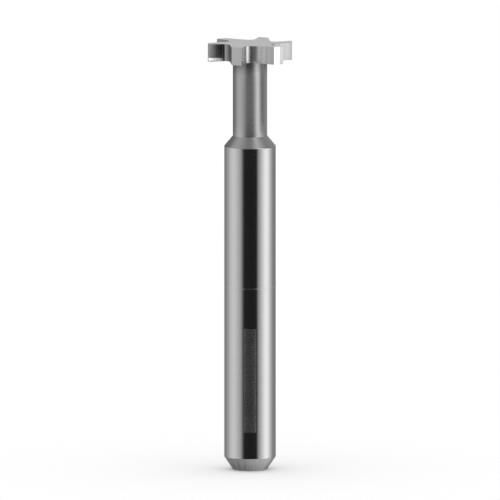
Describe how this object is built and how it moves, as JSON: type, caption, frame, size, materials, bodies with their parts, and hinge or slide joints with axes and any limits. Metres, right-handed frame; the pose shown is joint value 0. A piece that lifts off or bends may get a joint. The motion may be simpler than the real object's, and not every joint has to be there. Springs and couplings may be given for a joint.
{
  "type": "t-slot cutter",
  "caption": "Solid T-slot milling cutter: plain cylindrical shank, slim neck and a flat dished head with six sharp teeth that undercuts a slot sideways.",
  "frame": {"origin": "centre of the shank's flat end face", "axes": "+Z along the tool's axis from the shank's end to the toothed head; +X to the right in the view that the part was made from"},
  "size_m": [0.0098, 0.01, 0.05],
  "materials": {
    "ground_carbide": "polished shank, satin ground neck, head and end chamfer"
  },
  "bodies": {
    "root": {"cutter": "ground_carbide"}
  },
  "joints": []
}
